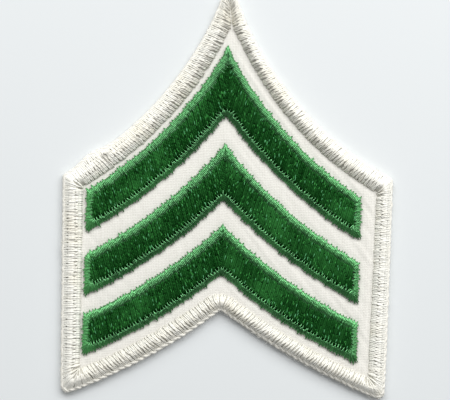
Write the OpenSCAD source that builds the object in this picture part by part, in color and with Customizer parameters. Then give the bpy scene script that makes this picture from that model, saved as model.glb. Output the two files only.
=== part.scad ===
// Rank chevron patch: an off-white cloth shape with a raised stitched border and three
// green stitched chevrons. It lies on its back, face up, with the point towards +Y.
// All sizes are millimetres. The origin is below the middle of the patch, on its back face.

/* [Outline] */
// Width over the two shoulders
patch_w = 76.2; // [68:0.2:88]
// How far the point stands to the left of the middle of the width
off_axis = 0.8; // [0:0.1:2]
// Height of the straight sides, from the left foot to the left shoulder
side_h = 51; // [46:0.5:58]
// How much higher the right shoulder sits than the left one
shoulder_step = 1.2; // [0:0.1:2]
// How much higher the right foot sits than the left one
foot_step = 0.5; // [0:0.1:1.2]
// Height of the sharp corner that the rounded point is cut from, above the left shoulder
point_h = 46.8; // [42:0.2:52]
// Height of the notch above the feet
notch_h = 20.6; // [16:0.2:24]
// How far the left side leans in from its shoulder to its foot
left_lean = 1; // [0:0.1:2]
// The same on the right side
right_lean = 0.4; // [0:0.1:2]
// How deep the left upper edge curves in from a straight line
left_bow = 5.7; // [4:0.1:6.4]
// The same on the right upper edge
right_bow = 6.2; // [4:0.1:6.6]
// How deep the lower edges curve down from a straight line
foot_bow = 1.5; // [0.8:0.1:2.4]
// Radius of the rounded point
point_r = 1.9; // [1:0.1:2.8]
// Radius of the shoulders
shoulder_r = 0.9; // [0.5:0.1:2]
// Radius of the feet
foot_r = 1.6; // [0.8:0.1:2.6]
// Radius of the notch
notch_r = 0.6; // [0.4:0.1:2]

/* [Ground cloth] */
// Thickness of the ground cloth
cloth_t = 1; // [0.8:0.05:1.4]

/* [Border] */
// Width of the border along the left upper edge
border_left_top_w = 4.9; // [4:0.1:5.6]
// Width of the border along the right upper edge, at the shoulder
border_right_top_w = 4.9; // [4.4:0.1:5.4]
// How much narrower it is there at the point
border_narrowing = 1.5; // [0:0.1:1.8]
// Width of the border half way down the left side
border_left_side_w = 4.5; // [3.8:0.1:5.4]
// Width of the border half way down the right side
border_right_side_w = 4; // [3.6:0.1:5.2]
// How far the border's inner edge leans in on the left side
inner_left_lean = 0.4; // [0:0.1:1.4]
// The same on the right side
inner_right_lean = 0.8; // [0:0.1:1.4]
// Width of the border along the left lower edge
border_left_foot_w = 4.3; // [3.8:0.1:5.2]
// Width of the border along the right lower edge
border_right_foot_w = 4; // [3.6:0.1:5.2]
// Rise of the border's crest above the face of the cloth
border_rise = 1.25; // [0.9:0.05:1.8]
// Thickness of the stitching that wraps under the cloth's edge
wrap_t = 0.3; // [0.2:0.05:0.5]
// How far the outermost strand hangs out where it has worked loose
loose_out = 1.1; // [0.2:0.1:1.6]

/* [Chevrons] */
// Bare cloth between the chevrons' ends and the border, where they come nearest
end_margin = 0.55; // [0.3:0.05:3]
// Height of the middle chevron on its axis
chevron_peak_h = 13.2; // [11:0.1:14.4]
// Height of the middle chevron at its ends
chevron_end_h = 9.85; // [8.6:0.05:11]
// Width of the edging along a chevron's arms
edging_w = 2; // [1.4:0.1:2.3]
// Width of the edging at a chevron's ends
edging_end_w = 1.5; // [1:0.1:2.2]
// Rise of the edging's crest above the face of the cloth
edging_rise = 1; // [0.8:0.05:1.5]
// Rise of the filled middle above the face of the cloth
fill_rise = 0.72; // [0.5:0.02:1]
// How much lower the filled middle is along its rim than at its crown
fill_drop = 0.16; // [0.05:0.01:0.3]
// Width of the filled middle's sloping rim
fill_rim_w = 1.1; // [0.6:0.1:1.4]

/* [Fit] */
// Space kept between neighbouring pieces
gap = 0.05; // [0.03:0.01:0.1]

/* [Hidden] */

off_white = [0.93, 0.92, 0.87];
cloth_white = [0.9, 0.89, 0.87];
bright_green = [0.2, 0.6, 0.3];
deep_green = [0.06, 0.32, 0.13];

cloth_low = wrap_t + gap;
cloth_top = cloth_low + cloth_t;
stitch_low = cloth_top + gap;

// Steps along a straight side, the border's arms, a chevron's arms and a rounded corner
side_steps = 2;
border_steps = 19;
chevron_steps = 11;
round_steps = 4;
// The least radius that a corner keeps when its outline moves in
least_r = 0.25;

// Where the loose strand lies along the left upper edge, as shares of that edge
loose_at = 0.87;
loose_half = 0.06;
// Share of the border's width over which the strand's bulge fades out
loose_fade = 0.35;

// Section of the border: share of its width from the outer edge, share of its crest's
// rise above the face of the cloth. The outermost strand is the first hump.
border_top_section = [
    [0.03, -0.05],
    [0.08, 0.22],
    [0.15, 0.30],
    [0.21, 0.22],
    [0.26, 0.15],
    [0.33, 0.50],
    [0.42, 0.82],
    [0.54, 1.00],
    [0.66, 0.95],
    [0.80, 0.66],
    [0.92, 0.32],
];
// The same down its outer wall, with heights as shares of the way up to the cloth's face
border_wall_section = [
    [0.07, 0.00],
    [0.02, 0.22],
    [0.00, 0.55],
];
// Share of the border's width where the cloth inside it ends, and where the wrap ends
cloth_edge_share = 0.2;
wrap_share = 0.8;

// Section of a chevron's edging: share of its width, share of its crest's rise
edging_section = [
    [0.00, 0.28],
    [0.12, 0.72],
    [0.32, 0.97],
    [0.50, 1.00],
    [0.70, 0.94],
    [0.90, 0.76],
    [1.00, 0.60],
];

// Section of a chevron's filled middle: share of its rim's width, share of its drop
// below the crown
fill_section = [
    [0.00, 1.6],
    [0.08, 1.0],
    [0.50, 0.35],
    [1.00, 0.00],
];

// One row for each chevron, from the top. Its lower edge stands a share of the way up the
// free cloth inside the border. Its own heights are shares of the middle chevron's, and
// its bows are shares of half of its width.
// lower edge: axis, end; own height: axis, end; bow: upper edge, lower edge
chevron_rows = [
    [0.658, 0.712, 1.235, 1.035, 0.094, 0.068],
    [0.336, 0.374, 1.000, 1.000, 0.063, 0.055],
    [0.051, 0.056, 0.890, 0.970, 0.049, 0.047],
];
chevron_corner_r = 0.3;

function mix(a, b, t) = a * (1 - t) + b * t;
function unit(v) = v / norm(v);
function right_of(v) = [v.y, -v.x];

// An outline has six corners: right foot, right shoulder, point, left shoulder, left
// foot and notch. Its edges run from each corner to the next one, and the sides have
// no bow. It is [corners, bows, corner radii, steps on an arm, leans of the right and the
// left side at the outer edge, the same at the inner edge, narrowing of edge 1].
border_half_left = patch_w / 2 - off_axis;
border_half_right = patch_w / 2 + off_axis;
border_shape = [
    [
        [border_half_right - right_lean, foot_step],
        [border_half_right, side_h + shoulder_step],
        [0, side_h + point_h],
        [-border_half_left, side_h],
        [left_lean - border_half_left, 0],
        [0, notch_h],
    ],
    [0, right_bow, left_bow, 0, -foot_bow, -foot_bow],
    [foot_r, shoulder_r, point_r, shoulder_r, foot_r, notch_r],
    border_steps,
    [right_lean, left_lean],
    [inner_right_lean, inner_left_lean],
    border_narrowing,
];

// Widths of the border and of a chevron's edging along the six edges of their outlines
border_widths = [
    border_right_side_w,
    border_right_top_w - border_narrowing / 2,
    border_left_top_w,
    border_left_side_w,
    border_left_foot_w,
    border_right_foot_w,
];
edging_widths = [edging_end_w, edging_w, edging_w, edging_end_w, edging_w, edging_w];

// How far an outline is moved in: [how far at each edge, bulge of the loose strand,
// share of the way in]
function in_border(share, extra = 0) = [
    [for (w = border_widths) share * w + extra],
    loose_out * max(0, 1 - share / loose_fade),
    share,
];
function in_edging(share, extra = 0) = [[for (w = edging_widths) share * w + extra], 0, share];

// The circle that a bowed edge lies on. Its radius is positive where the centre is
// outside the outline, so adding an inset to it moves the edge in.
function signed_r(shape, k) =
    let (chord = norm(shape[0][(k + 1) % 6] - shape[0][k]), bow = shape[1][k])
    chord * chord / (8 * bow) + bow / 2;
function centre(shape, k, inset) =
    let (
        a = shape[0][k],
        b = shape[0][(k + 1) % 6],
        r = signed_r(shape, k),
        back = k == 1 ? inset[2] * shape[6] * r / norm(b - a) : 0
    )
    (a + b) / 2 + right_of(unit(b - a)) * (r - shape[1][k]) - unit(b - a) * back;
function moved_r(shape, k, inset) = abs(signed_r(shape, k) + inset[0][k]);

// Height of a moved edge at x, on the lower half of its circle
function arc_y(shape, k, inset, x) =
    let (c = centre(shape, k, inset), r = moved_r(shape, k, inset))
    c.y - sqrt(r * r - (x - c.x) * (x - c.x));

// The lower crossing of two edges' circles
function crossing(shape, k, m, inset) =
    let (
        c1 = centre(shape, k, inset),
        c2 = centre(shape, m, inset),
        r1 = moved_r(shape, k, inset),
        r2 = moved_r(shape, m, inset),
        d = norm(c2 - c1),
        along = (r1 * r1 - r2 * r2 + d * d) / (2 * d),
        off = sqrt(r1 * r1 - along * along),
        way = (c2 - c1) / d,
        down = way.x > 0 ? right_of(way) : -right_of(way)
    )
    c1 + way * along + down * off;

// The corners of an outline that has been moved in. A side turns about its middle from
// its outer lean to its inner one.
function corner(shape, k, inset) =
    let (
        lean = mix(shape[4], shape[5], inset[2]) / 2,
        mid_right = shape[0][1].x - shape[4][0] / 2 - inset[0][0],
        mid_left = shape[0][3].x + shape[4][1] / 2 + inset[0][3],
        side_x = [mid_right - lean[0], mid_right + lean[0], 0, mid_left - lean[1], mid_left + lean[1]],
        edge = [5, 1, 0, 2, 4]
    )
    k == 2 ? crossing(shape, 1, 2, inset)
    : k == 5 ? crossing(shape, 4, 5, inset)
    : [side_x[k], arc_y(shape, edge[k], inset, side_x[k])];

// A point on edge k, a share t of the way along it
function edge_point(shape, k, inset, t) =
    let (a = corner(shape, k, inset), b = corner(shape, (k + 1) % 6, inset))
    shape[1][k] == 0 ? mix(a, b, t)
    : let (
        c = centre(shape, k, inset),
        turn_a = atan2(a.y - c.y, a.x - c.x),
        turn_b = atan2(b.y - c.y, b.x - c.x),
        turn = mix(turn_a, turn_b, t),
        bulge = k == 2 ? inset[1] * exp(-pow((t - loose_at) / loose_half, 2)) : 0
    )
    c + (moved_r(shape, k, inset) - bulge) * [cos(turn), sin(turn)];

// Direction of travel near the start (t = 0) or the end (t = 1) of edge k
function edge_way(shape, k, inset, t) =
    let (step = 0.004)
    unit(edge_point(shape, k, inset, min(1, t + step)) - edge_point(shape, k, inset, max(0, t - step)));

// Angle that the outline turns through at the corner that ends edge k, its radius there
// and how far from the corner the rounding starts. Only the notch turns to the right.
function turn_at(shape, k, inset) =
    let (a = edge_way(shape, k, inset, 1), b = edge_way(shape, (k + 1) % 6, inset, 0))
    acos(a * b);
function radius_at(shape, k, inset) =
    let (m = (k + 1) % 6, r = shape[2][m])
    m == 5 ? r + inset[0][k] : max(least_r, r - inset[0][k]);
function cut_at(shape, k, inset) =
    radius_at(shape, k, inset) * tan(turn_at(shape, k, inset) / 2);

function bezier(p, t) =
    p[0] * pow(1 - t, 3) + p[1] * 3 * t * pow(1 - t, 2) + p[2] * 3 * t * t * (1 - t)
    + p[3] * pow(t, 3);

// Edge k from the end of the rounding before it to the start of the one after it, and
// then that rounding
function edge_run(shape, k, inset) =
    let (
        long = norm(corner(shape, (k + 1) % 6, inset) - corner(shape, k, inset)),
        first = cut_at(shape, (k + 5) % 6, inset) / long,
        last = 1 - cut_at(shape, k, inset) / long,
        steps = shape[1][k] == 0 ? side_steps : shape[3]
    )
    [for (i = [0:steps]) edge_point(shape, k, inset, mix(first, last, i / steps))];
function rounding(shape, k, inset) =
    let (
        next = (k + 1) % 6,
        here = cut_at(shape, k, inset),
        long_a = norm(corner(shape, next, inset) - corner(shape, k, inset)),
        long_b = norm(corner(shape, (k + 2) % 6, inset) - corner(shape, next, inset)),
        share_a = 1 - here / long_a,
        share_b = here / long_b,
        handle = 4 / 3 * tan(turn_at(shape, k, inset) / 4) * radius_at(shape, k, inset),
        a = edge_point(shape, k, inset, share_a),
        b = edge_point(shape, next, inset, share_b),
        p = [
            a,
            a + handle * edge_way(shape, k, inset, share_a),
            b - handle * edge_way(shape, next, inset, share_b),
            b,
        ]
    )
    [for (i = [1:round_steps - 1]) bezier(p, i / round_steps)];
function outline(shape, inset) = [
    for (k = [0:5])
        each concat(edge_run(shape, k, inset), rounding(shape, k, inset))
];

// A height for each point of a row
function at_height(row, z) = [for (p = row) [p.x, p.y, z]];

// The chevrons' outlines, placed in the free cloth inside the border. Their ends stand
// the same way off the axis on both sides.
side_corners = [0, 1, 3, 4];
free_half_w = min([for (k = side_corners) abs(corner(border_shape, k, in_border(1)).x)]);
chevron_half_w = free_half_w - end_margin;
free_low_axis = corner(border_shape, 5, in_border(1)).y;
free_top_axis = corner(border_shape, 2, in_border(1)).y;
free_low_end = (arc_y(border_shape, 4, in_border(1), -chevron_half_w)
    + arc_y(border_shape, 5, in_border(1), chevron_half_w)) / 2;
free_top_end = (arc_y(border_shape, 2, in_border(1), -chevron_half_w)
    + arc_y(border_shape, 1, in_border(1), chevron_half_w)) / 2;

function chevron_shape(row) =
    let (
        low_axis = mix(free_low_axis, free_top_axis, row[0]),
        low_end = mix(free_low_end, free_top_end, row[1]),
        top_axis = low_axis + row[2] * chevron_peak_h,
        top_end = low_end + row[3] * chevron_end_h,
        top = row[4] * chevron_half_w,
        low = row[5] * chevron_half_w
    )
    [
        [
            [chevron_half_w, low_end],
            [chevron_half_w, top_end],
            [0, top_axis],
            [-chevron_half_w, top_end],
            [-chevron_half_w, low_end],
            [0, low_axis],
        ],
        [0, top, top, 0, -low, -low],
        [for (k = [0:5]) chevron_corner_r],
        chevron_steps,
        [0, 0],
        [0, 0],
        0,
    ];

// The middle of the patch's width and height, which the origin lies below
outer_edge = outline(border_shape, in_border(0));
xs = [for (p = outer_edge) p.x];
ys = [for (p = outer_edge) p.y];
middle = [(min(xs) + max(xs)) / 2, (min(ys) + max(ys)) / 2, 0];

// A solid through rows of points that all have the same length. A ring's last row joins
// its first one; otherwise the first and last rows are closed with flat faces, made of
// strips from the right end to the left one.
module through(rows, ring) {
    n = len(rows[0]);
    m = len(rows);
    points = [for (row = rows) each row];
    walls = [
        for (j = [0:m - (ring ? 1 : 2)], i = [0:n - 1])
            let (
                a = j * n + i,
                b = j * n + (i + 1) % n,
                c = ((j + 1) % m) * n + (i + 1) % n,
                d = ((j + 1) % m) * n + i
            )
            each [[a, d, b], [b, d, c]]
    ];
    across = n + side_steps;
    flat = concat(
        [[for (i = [-1:side_steps + 1]) (i + n) % n]],
        [for (i = [side_steps + 1:n / 2 - 2]) [i, i + 1, across - i - 1, across - i]],
        [[for (i = [n / 2 - 1:n / 2 + side_steps + 1]) i]]
    );
    top = (m - 1) * n;
    caps = ring ? [] : [
        for (f = flat)
            each [f, [for (i = [1:len(f)]) top + f[len(f) - i]]]
    ];
    polyhedron(points = points, faces = concat(walls, caps));
}

module ground_cloth() {
    color(cloth_white)
        translate([0, 0, cloth_low] - middle)
            linear_extrude(cloth_t)
                polygon(outline(border_shape, in_border(cloth_edge_share)));
}

// The stitching lies over the cloth's rim, round its edge and under it
module border() {
    face = [
        for (s = border_top_section)
            at_height(outline(border_shape, in_border(s[0])), cloth_top + s[1] * border_rise)
    ];
    wall = [
        for (s = border_wall_section)
            at_height(outline(border_shape, in_border(s[0])), s[1] * cloth_top)
    ];
    toe = outline(border_shape, in_border(1));
    seat = outline(border_shape, in_border(cloth_edge_share, -gap));
    wrap = outline(border_shape, in_border(wrap_share));
    rows = concat(
        wall,
        face,
        [
            at_height(toe, stitch_low),
            at_height(seat, stitch_low),
            at_height(seat, wrap_t),
            at_height(wrap, wrap_t),
            at_height(wrap, 0),
        ]
    );
    color(off_white)
        translate(-middle)
            through(rows, true);
}

module edging(row) {
    shape = chevron_shape(row);
    top = [
        for (s = edging_section)
            at_height(outline(shape, in_edging(s[0])), cloth_top + s[1] * edging_rise)
    ];
    rows = concat(
        [at_height(outline(shape, in_edging(0)), stitch_low)],
        top,
        [at_height(outline(shape, in_edging(1)), stitch_low)]
    );
    color(bright_green)
        translate(-middle)
            through(rows, true);
}

module fill(row) {
    shape = chevron_shape(row);
    top = [
        for (s = fill_section)
            at_height(
                outline(shape, in_edging(1, gap + s[0] * fill_rim_w)),
                cloth_top + fill_rise - s[1] * fill_drop
            )
    ];
    rows = concat([at_height(outline(shape, in_edging(1, gap)), stitch_low)], top);
    color(deep_green)
        translate(-middle)
            through(rows, false);
}

module upper_chevron_edging() { edging(chevron_rows[0]); }
module upper_chevron_fill() { fill(chevron_rows[0]); }
module middle_chevron_edging() { edging(chevron_rows[1]); }
module middle_chevron_fill() { fill(chevron_rows[1]); }
module lower_chevron_edging() { edging(chevron_rows[2]); }
module lower_chevron_fill() { fill(chevron_rows[2]); }

ground_cloth();
border();
upper_chevron_edging();
upper_chevron_fill();
middle_chevron_edging();
middle_chevron_fill();
lower_chevron_edging();
lower_chevron_fill();
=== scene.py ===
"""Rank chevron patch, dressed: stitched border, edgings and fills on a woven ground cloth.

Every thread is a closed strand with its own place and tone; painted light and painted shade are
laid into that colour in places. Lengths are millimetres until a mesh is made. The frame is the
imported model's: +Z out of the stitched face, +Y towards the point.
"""
import math

import bpy
import numpy as np
from bpy.props import FloatProperty, FloatVectorProperty, PointerProperty
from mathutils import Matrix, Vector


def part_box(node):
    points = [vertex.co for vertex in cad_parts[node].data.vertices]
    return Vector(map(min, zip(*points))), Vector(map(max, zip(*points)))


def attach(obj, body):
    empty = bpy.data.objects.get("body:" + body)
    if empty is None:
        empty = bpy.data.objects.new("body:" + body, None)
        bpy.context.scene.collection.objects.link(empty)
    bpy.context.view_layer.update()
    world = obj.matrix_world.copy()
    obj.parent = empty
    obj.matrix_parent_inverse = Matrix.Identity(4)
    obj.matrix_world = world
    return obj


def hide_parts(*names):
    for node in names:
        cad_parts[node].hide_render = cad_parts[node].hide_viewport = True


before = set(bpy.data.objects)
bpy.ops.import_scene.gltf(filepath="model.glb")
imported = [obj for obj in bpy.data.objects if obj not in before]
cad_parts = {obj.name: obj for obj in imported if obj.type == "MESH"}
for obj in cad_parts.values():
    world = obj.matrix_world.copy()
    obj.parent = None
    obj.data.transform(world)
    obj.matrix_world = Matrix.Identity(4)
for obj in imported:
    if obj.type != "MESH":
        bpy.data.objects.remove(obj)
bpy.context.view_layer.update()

bl_info = {
    "name": "Rank Chevron Patch",
    "version": (1, 0, 0),
    "blender": (4, 5, 0),
    "location": "View3D > Sidebar > Patch",
    "description": "Dresses a rank chevron patch with threads, cloth and studio light",
    "category": "Add Mesh",
}

MM = 0.001
CHEVRONS = ("upper", "middle", "lower")
# Where the random numbers of each piece start
CLOTH_SEED = 11
BORDER_SEED = 21
PURL_SEED = 31
EDGING_SEED = 41
FILL_SEED = 51
FUZZ_SEED = 61

# Outline of the patch as it is constructed
PATCH_W = 76.2
OFF_AXIS = 0.8
SIDE_H = 51.0
SHOULDER_STEP = 1.2
FOOT_STEP = 0.5
POINT_H = 46.8
NOTCH_H = 20.6
LEFT_LEAN = 1.0
RIGHT_LEAN = 0.4
LEFT_BOW = 5.7
RIGHT_BOW = 6.2
FOOT_BOW = 1.5
POINT_R = 1.9
SHOULDER_R = 0.9
FOOT_R = 1.6
NOTCH_R = 0.6
LEAST_R = 0.25
ROUND_STEPS = 8
# Steps along each edge of an outline where a mesh follows it, and where a fill does
EDGE_STEPS = 160
FILL_STEPS = 120

# Widths of the border on its six edges, from the right side round to the right foot
BORDER_WIDTHS = (4.0, 4.15, 4.9, 4.5, 4.3, 4.0)
BORDER_NARROWING = 1.5
INNER_LEFT_LEAN = 0.4
INNER_RIGHT_LEAN = 0.8
LOOSE_OUT = 1.1
LOOSE_AT = 0.87
LOOSE_HALF = 0.06
LOOSE_FADE = 0.35

# Chevrons inside the border
END_MARGIN = 0.55
CHEVRON_PEAK_H = 13.2
CHEVRON_END_H = 9.85
EDGING_WIDTHS = (1.5, 2.0, 2.0, 1.5, 2.0, 2.0)
CORNER_R = 0.3
# Lower edge as shares of the free cloth: axis, end. Own height: axis, end. Bows: upper, lower
CHEVRON_ROWS = (
    (0.658, 0.712, 1.235, 1.035, 0.094, 0.068),
    (0.336, 0.374, 1.000, 1.000, 0.063, 0.055),
    (0.051, 0.056, 0.890, 0.970, 0.049, 0.047),
)

# Heights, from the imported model, and how far in the cloth is cut, as a share of the border
CLOTH_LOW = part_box("ground_cloth")[0].z / MM
CLOTH_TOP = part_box("ground_cloth")[1].z / MM
BORDER_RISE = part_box("border")[1].z / MM - CLOTH_TOP
EDGING_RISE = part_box("upper_chevron_edging")[1].z / MM - CLOTH_TOP
CLOTH_EDGE_SHARE = 0.2

# Way of one border thread, from its needle hole over the crest and round the edge:
# share of the border's width from the outer edge, height above the cloth as a share of the rise
BORDER_THREAD = (
    (1.02, -0.10), (0.985, 0.12), (0.93, 0.34), (0.84, 0.60), (0.75, 0.80), (0.68, 0.91),
    (0.61, 0.97), (0.54, 0.99), (0.47, 0.96), (0.40, 0.83), (0.33, 0.61), (0.27, 0.38),
    (0.20, 0.16), (0.10, -0.04), (0.045, -0.34), (0.035, -0.66), (0.05, -0.87), (0.12, -0.92),
)
# Section of what lies under those threads, in the same shares
BORDER_CORE = (
    (0.80, -0.74), (0.80, -0.98), (0.09, -1.00), (0.06, -0.80), (0.07, -0.40), (0.12, -0.20),
    (0.22, -0.04), (0.30, 0.22), (0.36, 0.50), (0.43, 0.74), (0.52, 0.86), (0.61, 0.86),
    (0.73, 0.72), (0.84, 0.48), (0.93, 0.20), (0.98, 0.02), (0.97, -0.10),
)
# How the border's threads lie on each half of its six edges, from the foot of the right side round:
# lean in degrees, shares of the width where they end inside and outside, how strongly pairs meet in
# the outer row, place and half length of the middle row, how strongly they meet at their inner
# holes, how unevenly they lie, and how much soil and painted shade darken the inner slope
BORDER_HABITS = (
    (-8, 0.97, 0.00, 0.50, 0.66, 0.046, 0.15, 0.15, 0.0),
    (-2, 0.97, 0.00, 0.50, 0.66, 0.046, 0.15, 0.15, 0.0),
    (-14, 0.97, 0.00, 0.0, 0.70, 0.11, 0.6, 1.0, 0.26),
    (-8, 0.88, 0.00, 0.1, 0.64, 0.11, 0.6, 1.0, 0.34),
    (8, 0.97, 0.00, 0.5, 0.70, 0.10, 0.8, 0.9, 0.34),
    (16, 0.97, 0.00, 0.6, 0.65, 0.065, 0.55, 0.4, 0.04),
    (0, 1.03, 0.00, 0.7, 0.72, 0.048, 0.1, 0.15, 0.0),
    (0, 1.03, 0.00, 0.7, 0.72, 0.048, 0.1, 0.15, 0.0),
    (22, 0.99, 0.00, 0.3, 0.57, 0.17, 0.6, 1.0, 0.10),
    (16, 0.99, 0.00, 0.2, 0.48, 0.16, 0.6, 1.0, 0.0),
    (-16, 0.99, 0.10, 0.5, 0.49, 0.16, 0.6, 1.0, 0.0),
    (-8, 0.99, 0.10, 0.3, 0.56, 0.17, 0.6, 1.0, 0.0),
)
# The border's width that its threads are made for, the length of the fans at its corners, how far
# its inner edge runs up the point as a seam, and the run over which a lean is counted
BORDER_FULL = 4.0
BORDER_FAN = 2.0
BORDER_SEAM = 0.8
LEAN_RUN = 3.9
# Place and half length of the border's outer row of marks and of its inner needle holes
OUTER_ROW = (0.33, 0.055)
INNER_HOLES = (0.97, 0.1)
# How unevenly the border's threads lie: place, in threads; a sideways wave, in millimetres, in
# radians for the whole width, and its most phase; turn of a pair and of one thread, in degrees;
# where they end, as a share
PLACE_SPREAD = 0.05
WAVE = 0.04
WAVE_RATE = 9
WAVE_PHASE = 6.3
PAIR_TURN = 4
OWN_TURN = 1.5
END_SPREAD = 0.014
# Share of pairs left out of the outer row, and by what share of the width crowded pairs fall short
# of a corner
SKIPPED = 0.35
SHORTER = 0.36
# Half thickness of a thread, and what it gains where threads gather at a hole
BORDER_THICK = (0.07, 0.09)
EDGING_THICK = (0.085, 0.05)
FILL_THICK = 0.12
FLECK_THICK = 0.05
# Share of their width that threads lose at a hole
GATHERED = 0.45
# How dark the soil and painted shade on the inner slope are and how far they reach, and how dark
# the painted shade in the snag's opening is
SOIL_AND_SHADE_GAIN = 2.6
SOIL_AND_SHADE_HALF = 0.24
SNAG_SHADE = 1.4
# A snag in the left upper border: its place along the edges and across, half its opening, how far
# along and across it reaches, and how sharply the threads part
SNAG_EDGE = 2.817
SNAG_SHARE = 0.42
SNAG_HALF = 0.55
SNAG_ALONG = 0.8
SNAG_ACROSS = 0.09
SNAG_SHARPNESS = 0.2

# The purl strand: its place across the border, its height, the width and height of its turns, the
# width of a ply, and how wide its turns are on each half edge
PURL_SHARE = 0.13
PURL_Z = 1.14
PURL_W = 0.5
PURL_H = 0.36
PURL_PLY = 0.62
PURL_TURN_STEPS = 14
PURL_HABITS = (0.5, 0.35, 0.35, 0.4, 0.4, 0.4, 0.4, 0.5, 1.0, 1.0, 1.0, 1.0)

# Loose fibres of the border: how many, how far they reach, the share of them on its outer slope,
# their half width and half thickness, their least height, and the border's height by share of its
# width
FUZZ_COUNT = 260
FUZZ_REACH = 0.55
FUZZ_OUTSIDE = 0.6
FUZZ_HALF = (0.035, 0.03)
FUZZ_LOWEST = 0.05
FUZZ_HEIGHTS = ((0.02, 1.0), (0.12, 1.5), (0.30, 2.1), (0.50, 2.6), (0.75, 2.4), (0.95, 1.6))

# Way of one edging thread: share of the edging's width from the cloth's side, share of its rise
# along the upper edges, and along the lower ones
EDGING_THREAD = (
    (-0.03, -0.10, -0.10), (0.00, 0.14, 0.16), (0.05, 0.40, 0.36), (0.14, 0.63, 0.50),
    (0.26, 0.78, 0.62), (0.40, 0.88, 0.72), (0.54, 0.93, 0.80), (0.68, 0.95, 0.86),
    (0.80, 0.95, 0.88), (0.91, 0.93, 0.79), (1.02, 0.90, 0.60), (1.14, 0.85, 0.44),
    (1.26, 0.75, 0.34),
)
# Width of a thread at some shares of its way
EDGING_TAPER = ((-0.03, 0.22), (0.06, 0.42), (0.18, 0.82), (0.3, 1.0), (0.85, 1.0), (1.2, 0.6))
# Section of what lies under them, in shares of width and rise
EDGING_CORE = (
    (0.14, -0.04), (0.16, 0.14), (0.24, 0.34), (0.36, 0.48), (0.52, 0.58), (0.64, 0.56),
    (0.74, 0.38), (0.80, 0.12), (0.80, -0.04),
)
# The width that the threads are made for, the length of the fans, and how far the seam runs
EDGING_FULL = 1.5
EDGING_FAN = 0.8
EDGING_SEAM = 0.7
# Where along the edges a chevron's peak is, how far the thread there reaches out, and over which
# share of an edge
PEAK_EDGE = 2
PEAK_REACH = 0.3
PEAK_HALF = 0.006
# Share of a thread's way where the duller copy of its material, painted shade that mirrors less,
# changes with the glossy one: the low sides wear it before that, the others from there on
SHADED_COPY_SHARE = 0.7
# Which half edges of a chevron are low sides, from the foot of the right end round, how far from
# the edging's outer line their threads start, as a share of its width, and how light they are:
# painted light and shade, the left ends lit most and the low sides shaded
LOW_SIDES = (0.5, 0.4, 0, 0, 0, 0, 0.2, 0.3, 1, 1, 1, 1)
EDGING_STARTS = (-0.1, -0.12, 0, 0, 0, 0, -0.04, -0.04, 0.03, 0.03, 0.03, 0.03)
EDGING_PAINTED_LIGHT = (0.45, 0.45, 0.36, 0.32, 0.28, 0.34, 1.1, 1.1, 0.05, 0.0, 0.0, 0.05)
# One stitch of a fill: share of its length, how far it dips there as a share of its dip
FILL_STITCH = (
    (0.00, 1.00), (0.07, 0.42), (0.18, 0.08), (0.50, 0.00), (0.82, 0.08), (0.93, 0.42), (1.00, 1.00),
)
# Height of the fill's threads above the cloth at an arm's lower and upper rim, how far a stitch
# dips at its ends, and how far the threads drop at the lower rim, over which length
FILL_LOW = 0.70
FILL_HIGH = 0.90
FILL_DIP = 0.16
RIM_DROP = 0.18
RIM_RUN = 0.6
# Shares of the edging's width where the fill's threads and the slab below them end, and how far
# the slab reaches into the cloth
FILL_SHARE = 0.94
FILL_CORE_SHARE = 0.8
FILL_CORE_SUNK = 0.02
# Width of a fill's thread at some shares of a stitch
FILL_TAPER = ((0, 0.6), (0.2, 1), (0.8, 1), (1, 0.6))
# Farther than any point of a chevron is from its middle
FAR = 60.0
# Least length of a stitch, its spread, and the share of a stitch that one line is ahead of the next
LEAST_STITCH = 0.45
STITCH_SPREAD = 0.6
STITCH_PHASE = 0.382
# Raised bits of thread on a fill: how many for each millimetre of its lines, and how many in five
# are glossy
FLECKS_PER_MM = 0.2
GLOSSY_FLECKS = 2

# Twist of the plies in a thread: length of one turn, number of plies and of the fibre bundles seen
# round it, and how deep they are
PLY_TWIST = 0.8
PLIES = 2
FIBRES = 11
PLY_BUMP = 0.05
# How strongly each thread mirrors, how rough it is, and how fuzzy
BORDER_IOR = 1.5
BORDER_ROUGH = 0.42
BORDER_FUZZ = 0.1
EDGING_IOR = 3.65
# The shaded copy of the edging's material mirrors less: painted shade
EDGING_SHADED_IOR = 2.6
EDGING_ROUGH = 0.295
FILL_IOR = 1.52
FILL_ROUGH = 0.31
GREEN_FUZZ = 0.05

# The ground cloth: points up and across, its grid's distance from the two sides, how far a
# stitch's pull reaches, its ripples' height and the run over which they repeat, and the distance
# between yarns
CLOTH_ROWS = 150
CLOTH_COLUMNS = 170
CLOTH_MARGIN = 0.4
PUCKER_HALF = 0.7
RIPPLE = 0.035
RIPPLE_RUN = 90.0
YARN_PITCH = 0.37

# The photograph's frame: where the camera looks, how wide a field it sees, how far it is turned
AIM_X = -0.48
AIM_Y = -0.77
FIELD_W = 103.3
CAMERA_TURN = math.radians(1.65)
CAMERA_LENS = 180.0
SENSOR_W = 36.0
# The stage: half width of the floor and its height, the lamp's place and size, all in metres, its
# power in watts, and the studio's even light
FLOOR_HALF = 1.0
FLOOR_Z = -2e-5
LAMP_PLACE = (0.14, 0.61, 0.60)
LAMP_SIZE = (1.6, 0.55)
LAMP_POWER = 12.7
STUDIO_LIGHT = 0.30


def unit(v):
    """v divided by its length, along the last axis."""
    return v / np.linalg.norm(v, axis=-1, keepdims=True)


def left_of(v):
    """The plane vectors v, a quarter turn to the left."""
    return np.stack([-v[..., 1], v[..., 0]], -1)


def cross(a, b):
    """The one component of the cross product of plane vectors."""
    return a[..., 0] * b[..., 1] - a[..., 1] * b[..., 0]


def raised(points, height):
    """Plane points at a height, or at a height each."""
    height = np.broadcast_to(height, points.shape[:-1])
    return np.concatenate([points, height[..., None]], -1)


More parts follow.
